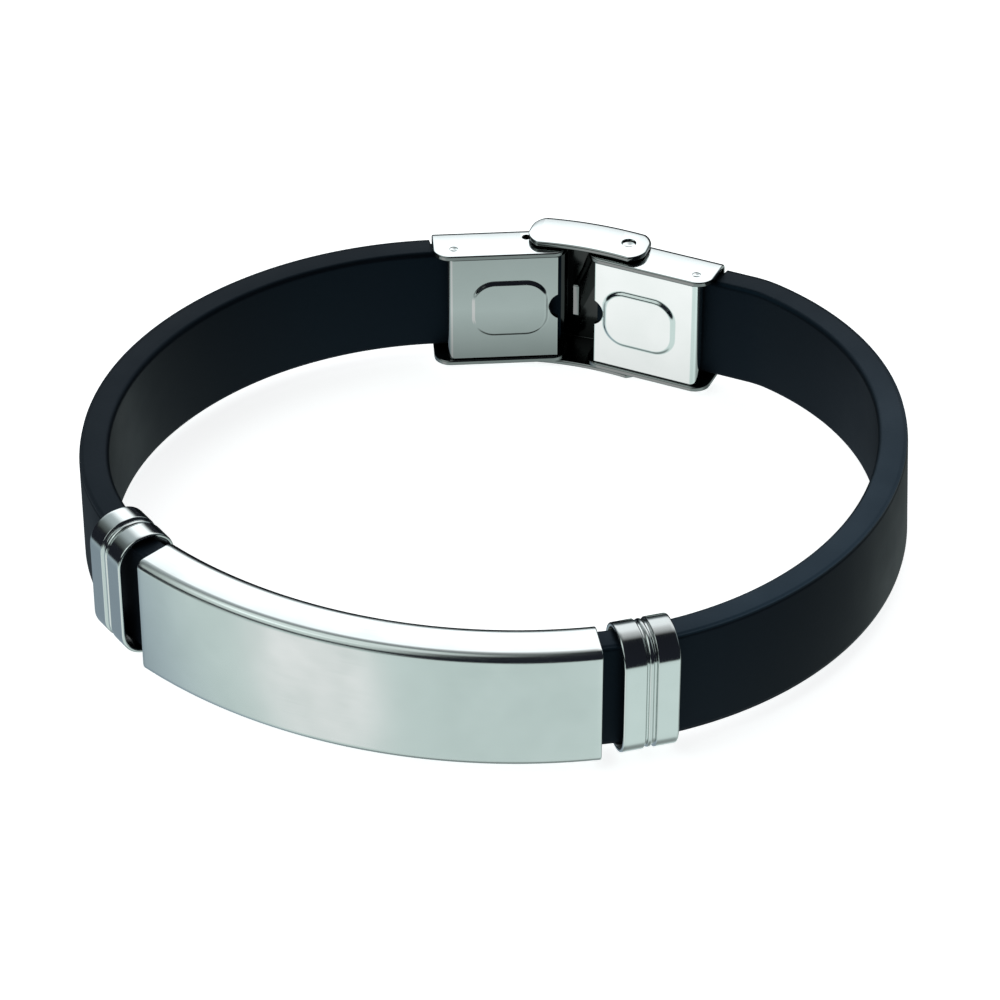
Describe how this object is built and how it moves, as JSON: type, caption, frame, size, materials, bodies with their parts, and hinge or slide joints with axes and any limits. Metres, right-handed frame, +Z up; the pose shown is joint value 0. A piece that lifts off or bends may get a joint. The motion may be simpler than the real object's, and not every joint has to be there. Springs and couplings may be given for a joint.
{
  "type": "silicone bracelet",
  "caption": "Black silicone bracelet with a curved bare steel plate, steel keepers and a folding steel clasp, lying on its side.",
  "frame": {"origin": "middle of the box round the bracelet, at the level of its lowest edge", "axes": "+Z up through the wrist opening, +X along the loop's longest width, -Y towards the plate, +Y towards the clasp"},
  "size_m": [0.0736, 0.0674, 0.0139],
  "materials": {
    "silicone": "smooth matt moulded silicone",
    "steel": "polished stainless steel"
  },
  "bodies": {
    "band": {"strap": "silicone", "id_plate": "steel", "keeper_left": "steel", "keeper_right": "steel", "clasp_box_left": "steel", "clasp_box_right": "steel", "flap_pin_left": "steel", "flap_pin_right": "steel", "rivet_top": "steel", "rivet_bottom": "steel"},
    "lever": {"lever": "steel"},
    "flap_left": {"flap_left": "steel"},
    "flap_right": {"flap_right": "steel"}
  },
  "joints": [
    {"name": "lever_hinge", "type": "hinge", "parent": "band", "child": "lever", "pos_m": [0.00363, 0.03088, 0.00695], "axis": [0, 0, -1], "range_deg": [0, 75]},
    {"name": "flap_left_hinge", "type": "hinge", "parent": "band", "child": "flap_left", "pos_m": [-0.01224, 0.02592, 0.00695], "axis": [0, 0, -1], "range_deg": [0, 90]},
    {"name": "flap_right_hinge", "type": "hinge", "parent": "band", "child": "flap_right", "pos_m": [0.01096, 0.02852, 0.00695], "axis": [0, 0, 1], "range_deg": [0, 90]}
  ]
}
